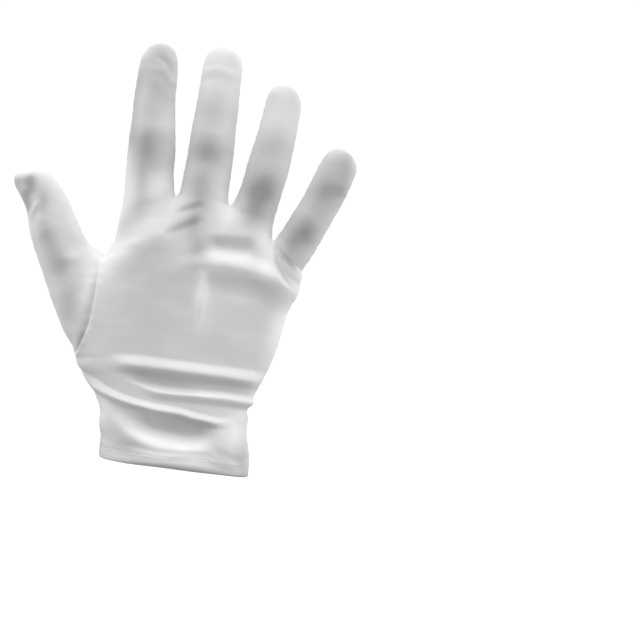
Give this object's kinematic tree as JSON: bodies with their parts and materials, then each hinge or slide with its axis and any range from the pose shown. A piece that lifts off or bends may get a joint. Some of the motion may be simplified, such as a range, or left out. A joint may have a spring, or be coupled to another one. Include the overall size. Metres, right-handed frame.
{
  "type": "white parade glove",
  "caption": "Thin knitted right-hand dress glove with a set-in thumb, spread fingers and a short turned-up cuff, filled out as when worn.",
  "frame": {"origin": "middle of the cuff's opening, where the wrist goes in", "axes": "+Z from the cuff to the fingertips, -Y out of the back of the hand and +Y out of the palm, +X to the little finger's side, so the thumb is at -X"},
  "size_m": [0.1765, 0.0417, 0.2208],
  "materials": {
    "white_knit": "fine smooth knit with a faint satin sheen",
    "hem_knit": "the same knit turned up and stitched"
  },
  "bodies": {
    "root": {"back_panel": "white_knit", "palm_panel": "white_knit", "thumb": "white_knit", "cuff_hem": "hem_knit"}
  },
  "joints": []
}
